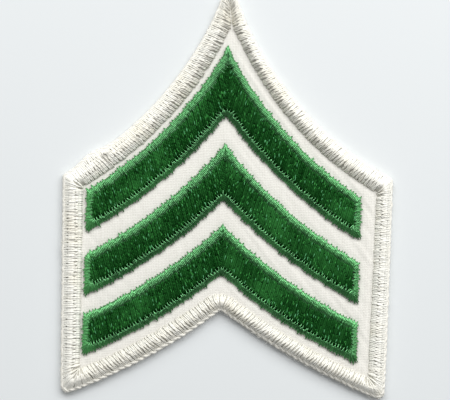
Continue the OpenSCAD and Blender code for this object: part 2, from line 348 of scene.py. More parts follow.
class Outline:
    """A closed outline of six corners, from the right foot anticlockwise, that can move in.

    Edge k runs from corner k to the next one on a circle with the given bow. Moved in by a share of
    the widths, the circles change radius, their crossings are the new corners, and a side turns
    about its middle from its outer lean to its inner one.
    """

    NEAR = 0.004

    def __init__(self, corners, bows, radii, widths, leans=((0, 0), (0, 0)), narrowing=0, loose=0):
        self.corners = np.array(corners, float)
        self.bows = bows
        self.radii = radii
        self.widths = widths
        self.leans = np.array(leans, float)
        self.narrowing = narrowing
        self.loose = loose
        self.middle = np.zeros(2)

    def circle_r(self, k):
        """Radius of edge k's circle: its chord squared over eight bows, plus half a bow. It is
        negative where the edge bows out."""
        chord = np.linalg.norm(self.corners[(k + 1) % 6] - self.corners[k])
        return chord**2 / (8 * self.bows[k]) + self.bows[k] / 2

    def centre(self, k, share):
        """Centre of that circle: the radius less the bow from the chord's middle, square to it. The
        border's narrowing takes the right upper edge's centre back along its chord."""
        a, b = self.corners[k], self.corners[(k + 1) % 6]
        way = unit(b - a)
        back = share * self.narrowing * self.circle_r(k) / np.linalg.norm(b - a) if k == 1 else 0
        return (a + b) / 2 - left_of(way) * (self.circle_r(k) - self.bows[k]) - way * back

    def moved_r(self, k, share):
        return abs(self.circle_r(k) + share * self.widths[k])

    def height_at(self, k, share, x):
        """Height of edge k at x: its centre's, less the root of the radius squared less the
        distance across squared."""
        c = self.centre(k, share)
        return c[1] - math.sqrt(self.moved_r(k, share)**2 - (x - c[0])**2)

    def crossing(self, k, m, share):
        """Lower crossing of two edges' circles, from the triangle of it and their centres."""
        c1, c2 = self.centre(k, share), self.centre(m, share)
        r1, r2 = self.moved_r(k, share), self.moved_r(m, share)
        d = np.linalg.norm(c2 - c1)
        along = (r1**2 - r2**2 + d**2) / (2 * d)
        way = (c2 - c1) / d
        down = -left_of(way) * np.sign(way[0])
        return c1 + way * along + down * math.sqrt(r1**2 - along**2)

    def corner(self, k, share):
        """Corner k: at the axis two circles cross, and elsewhere one meets a side."""
        k %= 6
        if k == 2:
            return self.crossing(1, 2, share)
        if k == 5:
            return self.crossing(4, 5, share)
        lean = (self.leans[0] * (1 - share) + self.leans[1] * share) / 2
        right = self.corners[1, 0] - self.leans[0, 0] / 2 - share * self.widths[0]
        left = self.corners[3, 0] + self.leans[0, 1] / 2 + share * self.widths[3]
        x = (right - lean[0], right + lean[0], 0, left - lean[1], left + lean[1])[k]
        return np.array([x, self.height_at((5, 1, 0, 2, 4)[k], share, x)])

    def edge(self, k, share, t):
        """Points of edge k at the shares t of its way."""
        k %= 6
        a, b = self.corner(k, share), self.corner(k + 1, share)
        t = np.asarray(t, float)[..., None]
        if self.bows[k] == 0:
            return a * (1 - t) + b * t
        c = self.centre(k, share)
        turns = [math.atan2(*(p - c)[::-1]) for p in (a, b)]
        turn = turns[0] * (1 - t) + turns[1] * t
        bulge = 0
        if k == 2:
            bulge = self.loose * max(0, 1 - share / LOOSE_FADE) * row(t, LOOSE_AT, LOOSE_HALF)
        radius = self.moved_r(k, share) - bulge
        return c + radius * np.concatenate([np.cos(turn), np.sin(turn)], -1)

    def way(self, k, share, t):
        """The direction of edge k at a share of its way, from two points near it."""
        near = self.edge(k, share, [max(0, t - self.NEAR), min(1, t + self.NEAR)])
        return unit(near[1] - near[0])

    def loop(self, share=0.0, steps=80):
        """The whole outline: each edge's run, then the rounding of its last corner, a cubic whose
        handles are four thirds of the tangent of a quarter of the turn, times the radius."""
        cuts, reach, length = [], [], []
        for k in range(6):
            dot = self.way(k, share, 1) @ self.way(k + 1, share, 0)
            turn = math.acos(min(1, dot))
            moved = share * self.widths[k]
            own = self.radii[(k + 1) % 6]
            r = own + moved if k == 4 else max(LEAST_R, own - moved)
            cuts.append(r * math.tan(turn / 2))
            reach.append(4 / 3 * math.tan(turn / 4) * r)
            ends = self.corner(k, share), self.corner(k + 1, share)
            length.append(np.linalg.norm(ends[1] - ends[0]))
        runs = []
        for k in range(6):
            after = (k + 1) % 6
            start, stop = cuts[k - 1] / length[k], 1 - cuts[k] / length[k]
            runs.append(self.edge(k, share, np.linspace(start, stop, steps + 1)))
            onward = cuts[k] / length[after]
            a, b = self.edge(k, share, stop), self.edge(after, share, onward)
            p = a + reach[k] * self.way(k, share, stop)
            q = b - reach[k] * self.way(after, share, onward)
            t = (np.arange(1, ROUND_STEPS) / ROUND_STEPS)[:, None]
            runs.append(a * (1 - t)**3 + 3 * p * t * (1 - t)**2 + 3 * q * t**2 * (1 - t) + b * t**3)
        return np.concatenate(runs) - self.middle


def border_outline():
    """The patch's outline, with its middle set so that the origin lies below it."""
    left, right = PATCH_W / 2 - OFF_AXIS, PATCH_W / 2 + OFF_AXIS
    outline = Outline(
        [
            (right - RIGHT_LEAN, FOOT_STEP),
            (right, SIDE_H + SHOULDER_STEP),
            (0, SIDE_H + POINT_H),
            (-left, SIDE_H),
            (LEFT_LEAN - left, 0),
            (0, NOTCH_H),
        ],
        (0, RIGHT_BOW, LEFT_BOW, 0, -FOOT_BOW, -FOOT_BOW),
        (FOOT_R, SHOULDER_R, POINT_R, SHOULDER_R, FOOT_R, NOTCH_R),
        BORDER_WIDTHS,
        ((RIGHT_LEAN, LEFT_LEAN), (INNER_RIGHT_LEAN, INNER_LEFT_LEAN)),
        BORDER_NARROWING,
        LOOSE_OUT,
    )
    edge = outline.loop()
    outline.middle = (edge.min(0) + edge.max(0)) / 2
    return outline


def chevron_outlines(border):
    """The chevrons' outlines, each set out as shares of the free cloth inside the border."""
    half = min(abs(border.corner(k, 1)[0]) for k in (0, 1, 3, 4)) - END_MARGIN
    low_axis, top_axis = border.corner(5, 1)[1], border.corner(2, 1)[1]
    low_end = (border.height_at(4, 1, -half) + border.height_at(5, 1, half)) / 2
    top_end = (border.height_at(2, 1, -half) + border.height_at(1, 1, half)) / 2
    outlines = []
    for at_axis, at_end, peak, end, upper_bow, lower_bow in CHEVRON_ROWS:
        axis_y = low_axis + at_axis * (top_axis - low_axis)
        end_y = low_end + at_end * (top_end - low_end)
        top_y = end_y + end * CHEVRON_END_H
        up, low = upper_bow * half, lower_bow * half
        outline = Outline(
            [(half, end_y), (half, top_y), (0, axis_y + peak * CHEVRON_PEAK_H), (-half, top_y),
             (-half, end_y), (0, axis_y)],
            (0, up, up, 0, -low, -low),
            (CORNER_R,) * 6,
            EDGING_WIDTHS,
        )
        outline.middle = border.middle
        outlines.append(outline)
    return outlines


def cast(origins, ways, loop):
    """Where each ray first meets a closed loop: for each ray and each of the loop's segments the
    crossing of two lines, kept where it lies on the segment and ahead of the ray's origin."""
    sides = np.roll(loop, -1, 0) - loop
    to_loop = loop[None] - origins[:, None]
    spread = cross(ways[:, None], sides[None])
    spread = np.where(abs(spread) < 1e-12, 1e-12, spread)
    ahead = cross(to_loop, sides[None]) / spread
    along = cross(to_loop, ways[:, None]) / spread
    hit = (along >= 0) & (along < 1) & (ahead > 0)
    far = np.where(hit, ahead, np.inf).min(1)
    return origins + ways * np.where(np.isfinite(far), far, 0)[:, None]


class Rungs:
    """The outer and the inner edge of an outline, matched point by point, and a path for laying
    threads: each step along it is the larger of the two lines' own steps, so threads stay close
    together even where they fan round a corner.

    Matched points lie square to the edge, save near its corners: over the last stretch, as long
    as the fan on the shorter line, that line is walked by a power of the share of the longer. At
    the point there is no fan: the inner line runs on up the axis as a seam, a share of the way to
    the outer edge, and threads from both sides meet at it."""

    STEP = 0.06
    NEAR_STEPS = 4
    CORE_STEP = 0.7

    def __init__(self, outline, fan, seam):
        loops = outline.loop(0, EDGE_STEPS), outline.loop(1, EDGE_STEPS)
        matched, edge = [], []
        for k in range(6):
            outer, inner = [self.run_of(loop, k) for loop in loops]
            up_seam = (outer[-1] - inner[-1]) * seam, (outer[0] - inner[0]) * seam
            seams = np.linalg.norm(up_seam[1]) * (k == 2), np.linalg.norm(up_seam[0]) * (k == 1)
            facing, half = self.square_places(outer, inner)
            bent = outline.moved_r(k, 0) / outline.moved_r(k, 1) if outline.bows[k] else 1.0
            places = self.places(walked(outer)[-1], walked(inner)[-1], facing, half, bent, fan, seams)
            if seams[0]:
                inner = np.vstack([inner[0] + up_seam[1], inner])
            if seams[1]:
                inner = np.vstack([inner, inner[-1] + up_seam[0]])
            pairs = [np.stack([np.interp(x, walked(run), run[:, i]) for i in (0, 1)], 1)
                     for x, run in zip(places, (outer, inner))]
            matched.append(pairs)
            edge.append(k + np.linspace(0, 1, len(places[0]), endpoint=False))
        self.outer, self.inner = [np.concatenate([pair[i] for pair in matched]) for i in (0, 1)]
        self.edge = np.concatenate(edge)
        middle = (self.outer + self.inner) / 2
        steps = [np.linalg.norm(np.roll(line, -1, 0) - line, axis=1)
                 for line in (self.outer, self.inner, middle)]
        run = np.concatenate([[0], np.cumsum(np.max(steps, 0))])
        self.length = run[-1]
        self.u = run[:-1]
        self.wide = np.linalg.norm(self.outer - self.inner, axis=1)

    def run_of(self, loop, k):
        """One edge of a loop, with half of the rounding at either end."""
        count = len(loop) // 6
        first = (k - 1) * count + EDGE_STEPS + ROUND_STEPS // 2
        return np.take(loop, np.arange(first, first + count + 1), axis=0, mode="wrap")

    def square_places(self, outer, inner):
        """Lengths along the outer and the inner run of two points that face each other squarely."""
        half = len(inner) // 2
        way = unit(inner[half + 1] - inner[half - 1])
        facing = cast(inner[half][None], -left_of(way)[None], outer)
        return walked(outer)[np.linalg.norm(outer - facing, axis=1).argmin()], walked(inner)[half]

    def places(self, outer_l, inner_l, outer_at, inner_at, bent, fan, seams):
        """Matched lengths along the outer and the inner run of an edge, its seams counted in."""
        spare = outer_at - inner_at * bent, outer_l - outer_at - (inner_l - inner_at) * bent
        ends = []
        for more, seam in zip(spare, seams):
            outer_end, inner_end = (more, seam) if seam else (fan + max(more, 0), fan + max(-more, 0))
            longer = max(outer_end, inner_end)
            share = np.linspace(0, 1, int(longer / self.STEP), endpoint=False)
            powers = (1, 1) if seam else (longer / outer_end, longer / inner_end)
            ends.append([(end, end * share ** power)
                         for end, power in zip((outer_end, inner_end), powers)])
        lengths = outer_l, inner_l + sum(seams)
        starts = [ends[0][i][0] for i in (0, 1)]
        stops = [lengths[i] - ends[1][i][0] for i in (0, 1)]
        count = int(max(stops[0] - starts[0], stops[1] - starts[1]) / self.STEP)
        return [np.concatenate([ends[0][i][1], np.linspace(starts[i], stops[i], count),
                                lengths[i] - ends[1][i][1][:0:-1]]) for i in (0, 1)]

    def along(self, u, values):
        """Values of the matched points, at u along the closed path."""
        return np.interp(u, self.u, values, period=self.length)

    def at(self, u, line):
        """Points of the outer or the inner line at u."""
        return np.stack([self.along(u, line[:, i]) for i in (0, 1)], -1)

    def lay(self, u, share, lean=0.0):
        """Points at u along the path and at shares of the way in. lean sets the two ends apart."""
        share = share[..., None]
        outer, inner = self.at(u + lean / 2, self.outer), self.at(u - lean / 2, self.inner)
        return outer * (1 - share) + inner * share

    def lowered(self, u, full):
        """How high threads stand at u, less than 1 where they are shorter than a full width."""
        return np.clip(self.along(u, self.wide) / full, 0.1, 1) ** 0.6

    def crowded(self, u):
        """0 where inner ends have room at u, 1 where they all meet in a corner, by how much shorter
        the inner line is than the path over a few steps either way."""
        near = self.NEAR_STEPS
        spread = np.linalg.norm(np.roll(self.inner, -near, 0) - np.roll(self.inner, near, 0), axis=1)
        run = (np.roll(self.u, -near) - np.roll(self.u, near)) % self.length
        return self.along(u, np.clip(1.2 - 1.6 * spread / run, 0, 1))

    def squeezed(self, u, share, full):
        """Shares for a border cut short at u: its inner half keeps its length, down to a least
        outer part, and reaches a little past the seam."""
        wide = self.along(u, self.wide)
        crest = np.clip(1 - full / 2 / wide, 0.15, 0.5)[..., None]
        meet = 1 + 0.08 * np.clip(2 - 2 * wide / full, 0, 1)[..., None]
        return np.where(share > 0.5, meet - (1 - share) * (meet - crest) * 2, share * crest * 2)

    def habit(self, u, values):
        """Values given for each half edge, blended along the path."""
        halves = 2 * np.interp(u, self.u, self.edge)
        return np.interp(halves, np.arange(len(values)) + 0.5, values, period=len(values))

    def core(self, section, full, low, rise, reach, depth):
        """A section, in shares of width and of rise, carried all along the path as a closed skin.
        reach, if given, is how far in it goes on each half edge, and has it squeezed too."""
        u = np.arange(int(self.length / self.CORE_STEP)) * self.CORE_STEP
        share, height = columns(section)
        shares = share + 0 * u[:, None]
        if reach is not None:
            far = self.habit(u, reach)[:, None] - 0.5
            shares = self.squeezed(u, np.where(share > 0.5, 0.5 + (share - 0.5) * 2 * far, share), full)
        plane = self.lay(u[None], shares.T)
        drop = np.where(height[:, None] > 0, rise * self.lowered(u, full), low)
        return closed_surface(raised(plane, CLOTH_TOP + drop * height[:, None]), 0.2, depth)


def border_rungs():
    """The border's own path, for its threads, its strand and its fibres."""
    return Rungs(border_outline(), BORDER_FAN, BORDER_SEAM)


def walked(run):
    """Length walked along a line at each of its points."""
    return np.concatenate([[0], np.linalg.norm(np.diff(run, axis=0), axis=1).cumsum()])


def slow_noise(rng, s, length, waves):
    """A smooth random value for each place on a closed path: sines of whole numbers of waves."""
    total = np.zeros(np.shape(s))
    for n in waves:
        total += rng.normal() * np.sin(2 * np.pi * (n * s / length + rng.random()))
    return total / math.sqrt(len(waves) / 2)


class Shell:
    """Faces and points on their way to a mesh. uv belongs to face corners; the tone, with painted light
    in it, and the painted shade and soil belong to points; slot is the number of the material that
    the faces wear. A shell without points has its faces on those of the shell before it."""

    def __init__(self, points, faces, uv, tone, depth, slot=0):
        self.points = points
        self.faces = faces
        self.uv = uv
        self.tone = tone
        self.depth = depth
        self.slot = slot


def quads_of_grid(rows, columns, wrap_rows, wrap_columns):
    """Corner numbers of the grid's quads, anticlockwise in (row, column)."""
    i, j = np.meshgrid(np.arange(rows - (not wrap_rows)), np.arange(columns - (not wrap_columns)),
                       indexing="ij")
    i, j = i.ravel(), j.ravel()
    i2, j2 = (i + 1) % rows, (j + 1) % columns
    return np.stack([i * columns + j, i * columns + j2, i2 * columns + j2, i2 * columns + j], 1)


def ellipses(side, up, half_wide, half_thick, angle):
    """Rings about the points of lines: a half width times the cosine to the side, plus a half
    thickness times the sine upwards."""
    flat = side[..., None, :] * (half_wide * np.cos(angle)[:, None])
    return flat + up[..., None, :] * (half_thick * np.sin(angle)[:, None])


def strands(lines, side, half_wide, half_thick, tone, depth, sides=6, slot=0):
    """Closed tubes along many lines at once, each ring an ellipse square to its line. slot is one
    for all, or one for each stretch between rings."""
    count, rings = lines.shape[:2]
    along = unit(np.gradient(lines, axis=1))
    side = np.broadcast_to(side, lines.shape)
    side = unit(side - along * (side * along).sum(-1, keepdims=True))
    up = np.cross(along, side)
    angle = 2 * np.pi * (np.arange(sides) + 0.5) / sides
    wide = np.broadcast_to(half_wide, (count, rings))[..., None, None]
    thick = np.broadcast_to(half_thick, (count, rings))[..., None, None]
    points = (lines[:, :, None] + ellipses(side, up, wide, thick, angle)).reshape(-1, 3)

    tube = quads_of_grid(rings, sides, False, True)
    base = (np.arange(count) * rings * sides)[:, None, None]
    walls = (tube[None] + base).reshape(-1, 4)
    ends = np.stack([np.arange(sides)[::-1], (rings - 1) * sides + np.arange(sides)])
    caps = (ends[None] + base).reshape(-1, sides)

    run = np.linalg.norm(np.diff(lines, axis=1), axis=2).cumsum(1)
    run = np.concatenate([np.zeros((count, 1)), run], 1)
    i, j = np.divmod(tube[:, 0], sides)
    turn = np.stack([j, j + 1, j + 1, j], 1) / sides
    length = np.stack([run[:, i], run[:, i], run[:, i + 1], run[:, i + 1]], -1)
    wall_uv = np.stack([length, np.broadcast_to(turn, length.shape)], -1).reshape(-1, 2)
    cap_length = np.repeat(run[:, [0, -1]].reshape(-1), sides)
    cap_uv = np.stack([cap_length, np.zeros_like(cap_length)], -1)

    per_point = np.repeat(tone, rings * sides)
    deep = np.repeat(np.broadcast_to(depth, (count, rings)).reshape(-1), sides)
    slot = np.broadcast_to(slot, rings - 1)
    return [Shell(points, walls, wall_uv, per_point, deep, np.tile(slot[i], count)),
            Shell(None, caps, cap_uv, None, None, np.tile(slot[[0, -1]], count))]


def closed_strand(line, half, tone, sides=8):
    """A round tube along a closed line."""
    along = unit(np.roll(line, -1, 0) - np.roll(line, 1, 0))
    side = unit(np.cross([0.0, 0.0, 1.0], along))
    angle = 2 * np.pi * np.arange(sides) / sides
    rings = ellipses(side, np.cross(along, side), half, half, angle)
    shell = closed_surface(line[:, None] + rings, tone)
    run = np.linalg.norm(np.diff(line, axis=0), axis=1).sum()
    shell.uv = shell.uv[:, ::-1] * [run, 1.0]
    return shell


def closed_surface(points, tone, depth=0.0):
    """A grid of points, (rows, columns, 3), closed both ways round. Its uv is the share of the way
    along a row and along a column."""
    rows, columns = points.shape[:2]
    quads = quads_of_grid(rows, columns, True, True)
    i, j = np.divmod(quads[:, 0], columns)
    across = np.stack([i, i, i + 1, i + 1], 1) / rows
    along = np.stack([j, j + 1, j + 1, j], 1) / columns
    uv = np.stack([along, across], -1).reshape(-1, 2)
    flat = points.reshape(-1, 3)
    return Shell(flat, quads, uv, np.full(len(flat), tone), np.full(len(flat), depth))


def slab(top, bottom, tone=0.5, depth=0.0):
    """A closed body between two grids of the same size: both faces and the wall round their rims."""
    rows, columns = top.shape[:2]
    count = rows * columns
    face = quads_of_grid(rows, columns, False, False)
    number = np.arange(count).reshape(rows, columns)
    rim = np.concatenate([number[0, :-1], number[:-1, -1], number[-1, :0:-1], number[:0:-1, 0]])
    ahead = np.roll(rim, -1)
    wall = np.stack([rim, ahead, ahead + count, rim + count], 1)
    quads = np.concatenate([face, face[:, ::-1] + count, wall[:, ::-1]])
    points = np.concatenate([top.reshape(-1, 3), bottom.reshape(-1, 3)])
    uv = points[quads.ravel()][:, :2]
    return Shell(points, quads, uv, np.full(len(points), tone), np.full(len(points), depth))


def added(name, data):
    """An object that holds the data, in the scene."""
    made = bpy.data.objects.new(name, data)
    bpy.context.scene.collection.objects.link(made)
    return made


def put_mesh(name, shells, materials, replaced=None):
    """Makes one object out of shells, in metres, with the given materials, hangs it on the root body,
    and hides the imported part that it replaces."""
    own = [shell for shell in shells if shell.points is not None]
    points, tone, depth = [np.concatenate([getattr(shell, part) for shell in own])
                           for part in ("points", "tone", "depth")]
    first = np.cumsum([0] + [len(shell.points) for shell in own])
    base = first[np.cumsum([shell.points is not None for shell in shells]) - 1]
    corners = np.concatenate([shell.faces.ravel() + start for shell, start in zip(shells, base)])
    sides = np.concatenate([np.full(len(shell.faces), shell.faces.shape[1]) for shell in shells])
    worn = np.concatenate([np.broadcast_to(shell.slot, len(shell.faces)) for shell in shells])
    uv = np.concatenate([shell.uv for shell in shells])
    mesh = bpy.data.meshes.new(name)
    mesh.vertices.add(len(points))
    mesh.vertices.foreach_set("co", (points * MM).astype(np.float32).ravel())
    mesh.loops.add(len(corners))
    mesh.loops.foreach_set("vertex_index", corners.astype(np.int32))
    mesh.polygons.add(len(sides))
    mesh.polygons.foreach_set("loop_start", (np.cumsum(sides) - sides).astype(np.int32))
    mesh.polygons.foreach_set("material_index", worn.astype(np.int32))
    mesh.update(calc_edges=True)
    layer = mesh.uv_layers.new(name="Thread")
    layer.data.foreach_set("uv", uv.astype(np.float32).ravel())
    for label, values in (("tone", tone), ("depth", depth)):
        layer = mesh.attributes.new(label, "FLOAT", "POINT")
        layer.data.foreach_set("value", values.astype(np.float32))
    mesh.validate()
    mesh.shade_smooth()
    for material in materials:
        mesh.materials.append(material)
    piece = added(name, mesh)
    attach(piece, "root")
    if replaced:
        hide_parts(replaced)
    return piece


class Value:
    """A number that a shader node gives. Arithmetic on it adds Math nodes."""

    def __init__(self, shader, socket):
        self.shader = shader
        self.socket = socket

    def with_math(self, operation, *values):
        return self.shader.number("ShaderNodeMath", {"operation": operation}, *values)

    def __add__(self, other):
        return self.with_math("ADD", self, other)

    def __sub__(self, other):
        return self.with_math("SUBTRACT", self, other)

    def __rsub__(self, other):
        return self.with_math("SUBTRACT", other, self)

    def __mul__(self, other):
        return self.with_math("MULTIPLY", self, other)

    __radd__ = __add__
    __rmul__ = __mul__

    def sine(self):
        return self.with_math("SINE", self)


class Shader:
    """A material's node tree with one Principled shader, written as expressions."""

    def __init__(self, name, **constants):
        self.material = bpy.data.materials.new(name)
        self.material.use_nodes = True
        self.tree = self.material.node_tree
        self.main = self.tree.nodes["Principled BSDF"]
        for socket, value in constants.items():
            self.main.inputs[socket.replace("_", " ")].default_value = value

    def link(self, socket, value):
        if isinstance(value, Value):
            value = value.socket
        if isinstance(value, bpy.types.NodeSocket):
            self.tree.links.new(value, socket)
        else:
            socket.default_value = value

    def node(self, kind, settings=None, values=None):
        """Adds a node of that kind: first its settings, then the values or links of its sockets."""
        made = self.tree.nodes.new(kind)
        for key, value in (settings or {}).items():
            setattr(made, key, value)
        for key, value in (values or {}).items():
            self.link(made.inputs[key], value)
        return made

    def number(self, kind, settings, *values):
        made = self.node(kind, settings, dict(enumerate(values)))
        return Value(self, made.outputs[0])

    def attribute(self, name):
        return Value(self, self.node("ShaderNodeAttribute", {"attribute_name": name}).outputs["Fac"])

    def thread_uv(self):
        """(length along the thread in millimetres, share of the way round it)"""
        uv = self.node("ShaderNodeUVMap", {"uv_map": "Thread"}).outputs["UV"]
        parts = self.node("ShaderNodeSeparateXYZ", values={"Vector": uv})
        return Value(self, parts.outputs["X"]), Value(self, parts.outputs["Y"])

    def place(self):
        """Object coordinates in millimetres."""
        where = self.node("ShaderNodeTexCoord").outputs["Object"]
        scaled = self.node("ShaderNodeVectorMath", {"operation": "SCALE"}, {0: where, "Scale": 1 / MM})
        return scaled.outputs[0]

    def noise(self, vector, scale, detail=2.0):
        made = self.node("ShaderNodeTexNoise", None, {
            "Vector": vector, "Scale": scale, "Detail": detail})
        return Value(self, made.outputs["Fac"])

    def ranged(self, value, low, high, to_low=0.0, to_high=1.0):
        """value from low to high, taken to another range and held within it."""
        made = self.node("ShaderNodeMapRange", None, {
            "Value": value, "From Min": low, "From Max": high, "To Min": to_low, "To Max": to_high})
        return Value(self, made.outputs["Result"])

    def colour_mix(self, factor, first, second):
        made = self.node("ShaderNodeMix", {"data_type": "RGBA"})
        self.link(made.inputs[0], factor)
        self.link(made.inputs[6], first)
        self.link(made.inputs[7], second)
        return made.outputs[2]

    def bump(self, height, strength, distance):
        made = self.node("ShaderNodeBump", None, {
            "Height": height, "Strength": strength, "Distance": distance * MM})
        return made.outputs["Normal"]

    def finish(self, colour, roughness=None, normal=None):
        self.link(self.main.inputs["Base Color"], colour)
        if roughness is not None:
            self.link(self.main.inputs["Roughness"], roughness)
        if normal is not None:
            self.link(self.main.inputs["Normal"], normal)
        return self.material


def opaque(colour, factor=1.0):
    """A colour, times a factor, as the four numbers that a socket takes."""
    return (*(c * factor for c in colour), 1.0)


def thread_material(name, light, dark, stain, sheen, shine, ior, rough, fuzz):
    """Lustrous thread: each strand its own tone, with painted light in it, plies twisted round it, and
    painted shade and soil that darken it where it dives and wherever the attribute says. shine tints
    what it mirrors, sheen its fuzz."""
    shader = Shader(name, IOR=ior, Specular_Tint=opaque(shine), Sheen_Weight=fuzz, Sheen_Roughness=0.4,
                    Sheen_Tint=opaque(sheen))
    place = shader.place()
    along, around = shader.thread_uv()
    tone = shader.attribute("tone")
    depth = shader.attribute("depth")
    plies = (along * (2 * math.pi / PLY_TWIST) + around * (2 * math.pi * PLIES)).sine()
    strands = (along * (2 * math.pi / PLY_TWIST) + around * (2 * math.pi * FIBRES)).sine()
    fibres = shader.noise(place, 3.0, 3.0)
    lightness = shader.ranged(tone * 0.8 + fibres * 0.4, 0.2, 1.0)
    colour = shader.colour_mix(lightness, opaque(dark), opaque(light))
    blotch = shader.ranged(shader.noise(place, 0.12, 2.0), 0.5, 0.72)
    colour = shader.colour_mix(blotch * 0.5, colour, opaque(stain))
    # Painted shade and soil: the colour goes towards a darker copy of the thread's darkest tone
    colour = shader.colour_mix(depth, colour, opaque(dark, 0.45))
    roughness = shader.ranged(tone + fibres, 0.3, 1.6, rough - 0.03, rough + 0.08)
    normal = shader.bump(plies * 0.5 + strands * 0.15 + fibres * 0.8, 0.7, PLY_BUMP)
    return shader.finish(colour, roughness, normal)


def cloth_material(light, dark):
    """Plain weave: a small gap wherever four yarns meet, 1 less a product of two raised sines, and the
    yarns' crossings raised by turns, a product of sines at twice the pitch. The gaps darken the colour:
    painted shade."""
    shader = Shader("ground_cloth_weave", Roughness=0.85, Specular_IOR_Level=0.25, Sheen_Weight=0.1)
    place = shader.place()
    parts = shader.node("ShaderNodeSeparateXYZ", values={"Vector": place})
    wander = shader.noise(place, 0.3, 2.0) * 0.6
    across = (Value(shader, parts.outputs["X"]) + wander) * (math.pi / YARN_PITCH)
    along = (Value(shader, parts.outputs["Y"]) + wander) * (math.pi / YARN_PITCH)
    gaps = 1.0 - ((across * 2.0).sine() * 0.5 + 0.5) * ((along * 2.0).sine() * 0.5 + 0.5)
    weave = across.sine() * along.sine()
    grain = shader.noise(place, 2.2, 4.0)
    slub = shader.noise(shader.node("ShaderNodeMapping", None, {
        "Vector": place, "Scale": (2.0, 0.12, 1.0)}).outputs[0], 1.0, 2.0)
    # The yarn gaps darken the colour: painted shade
    tone = shader.ranged(gaps * 0.45 + grain * 0.6 + slub * 0.4, 0.45, 1.3)
    colour = shader.colour_mix(tone, opaque(dark), opaque(light))
    normal = shader.bump(gaps * 0.8 + weave * 0.12 + grain * 0.6, 0.8, 0.05)
    return shader.finish(colour, normal=normal)


def length_property(name, description, default, least, most):
    """A property that holds a length. Its values are given in millimetres."""
    return FloatProperty(name=name, description=description, default=default * MM, min=least * MM,
                         max=most * MM, unit="LENGTH", precision=5)


def colour_property(name, description, *default):
    return FloatVectorProperty(name=name, description=description, subtype="COLOR", default=default,
                               min=0, max=1)


class PatchSizes(bpy.types.PropertyGroup):
    """Sizes of threads and stitches, in metres."""

    border_spacing: length_property(
        "Border spacing", "Distance between neighbouring threads of the border", 0.4, 0.2, 1)
    border_thread: length_property(
        "Border thread", "Width of a border thread where it is widest", 0.41, 0.1, 1)
    edging_spacing: length_property(
        "Edging spacing", "Distance between neighbouring threads of an edging", 0.36, 0.2, 1)
    edging_thread: length_property(
        "Edging thread", "Width of an edging thread where it is widest", 0.40, 0.1, 1)
    fill_spacing: length_property(
        "Fill spacing", "Distance between neighbouring threads of a fill", 0.42, 0.2, 1)
    fill_thread: length_property("Fill thread", "Width of a fill thread", 0.50, 0.1, 1)
    fill_stitch: length_property("Fill stitch", "Length of one stitch of a fill", 5.0, 1, 8)
    fill_lean: FloatProperty(
        name="Fill lean", description="How far the fill's threads lean away from upright",
        default=math.radians(16), min=0, max=math.radians(60), unit="ROTATION")
    purl_twist: length_property(
        "Purl twist", "Length of one turn of the strand along the border's edge", 3.2, 0.5, 5)
    pucker: length_property(
        "Pucker", "How deep the stitching pulls the ground cloth in", 0.09, 0, 0.4)


class PatchColours(bpy.types.PropertyGroup):
    """Colours of the threads, the cloth and the floor."""

    cream: colour_property("Cream", "Border thread where it is lightest", 0.95, 0.94, 0.87)
    cream_shade: colour_property(
        "Cream shade", "Border thread where it is darkest", 0.90, 0.875, 0.78)
    cream_shine: colour_property("Cream shine", "What the border thread mirrors", 1.0, 0.98, 0.92)
    stain: colour_property("Stain", "Yellowed patches of the border thread", 0.86, 0.81, 0.66)
    green: colour_property("Green", "Green thread where it is lightest", 0.042, 0.225, 0.050)
    green_shade: colour_property(
        "Green shade", "Green thread where it is darkest", 0.001, 0.020, 0.002)
    green_shine: colour_property("Green shine", "What an edging's thread mirrors", 0.38, 1.0, 0.45)
    fill_shine: colour_property("Fill shine", "What a fill's thread mirrors", 0.15, 1.0, 0.19)
    green_sheen: colour_property("Green sheen", "Fuzz of the green thread", 0.15, 0.9, 0.2)
    cloth: colour_property("Cloth", "Ground cloth where it is lightest", 0.96, 0.945, 0.89)
    cloth_shade: colour_property(
        "Cloth shade", "Ground cloth where it is darkest", 0.72, 0.70, 0.64)
    floor: colour_property("Floor", "The floor that the patch lies on", 0.76, 0.79, 0.80)


def sizes_of(context):
    return context.scene.patch_sizes


def colours_of(context):
    return context.scene.patch_colours


def columns(table):
    """The columns of a short table, as arrays."""
    return np.array(table, float).T


def soft_step(x, low, high):
    """0 up to low, 1 from high, smooth in between."""
    t = np.clip((x - low) / (high - low), 0, 1)
    return t * t * (3 - 2 * t)


def row(share, at, half):
    """1 at a share of the width and about 0 a half length away from it: a bell curve."""
    return np.exp(-((share - at) / half)**2)


def drawn_together(u, rng, pitch, holes, pull, apart, uneven):
    """Moves threads sideways so that two by two they meet at a needle hole: by pull, a weight for
    each thread and share, towards the hole, where the two stay apart. holes is 0 or 1: which of a
    thread's two neighbours it meets."""
    number = np.arange(len(u))
    pair = (number + holes) // 2 % (len(u) // 2)
    hole = (2 * ((number + holes) // 2) + 1 - holes) * pitch + rng.normal(0, uneven, len(u) // 2)[pair]
    hand = np.where((number + holes) % 2 == 0, -0.5, 0.5)
    return u + pull * ((hole + hand * apart)[:, None] - u)


def twice(values):
    """Each pair's value, for both of its threads."""
    return np.repeat(values, 2, 0)


def back_along(plane):
    """Level unit vectors from each thread's next neighbour to its last one."""
    return -raised(unit(np.roll(plane, -1, 0) - np.roll(plane, 1, 0)), 0.0)


def even_count(length, spacing):
    """An even number of threads that fills a length, and their exact spacing."""
    count = 2 * round(length / spacing / 2)
    return count, length / count


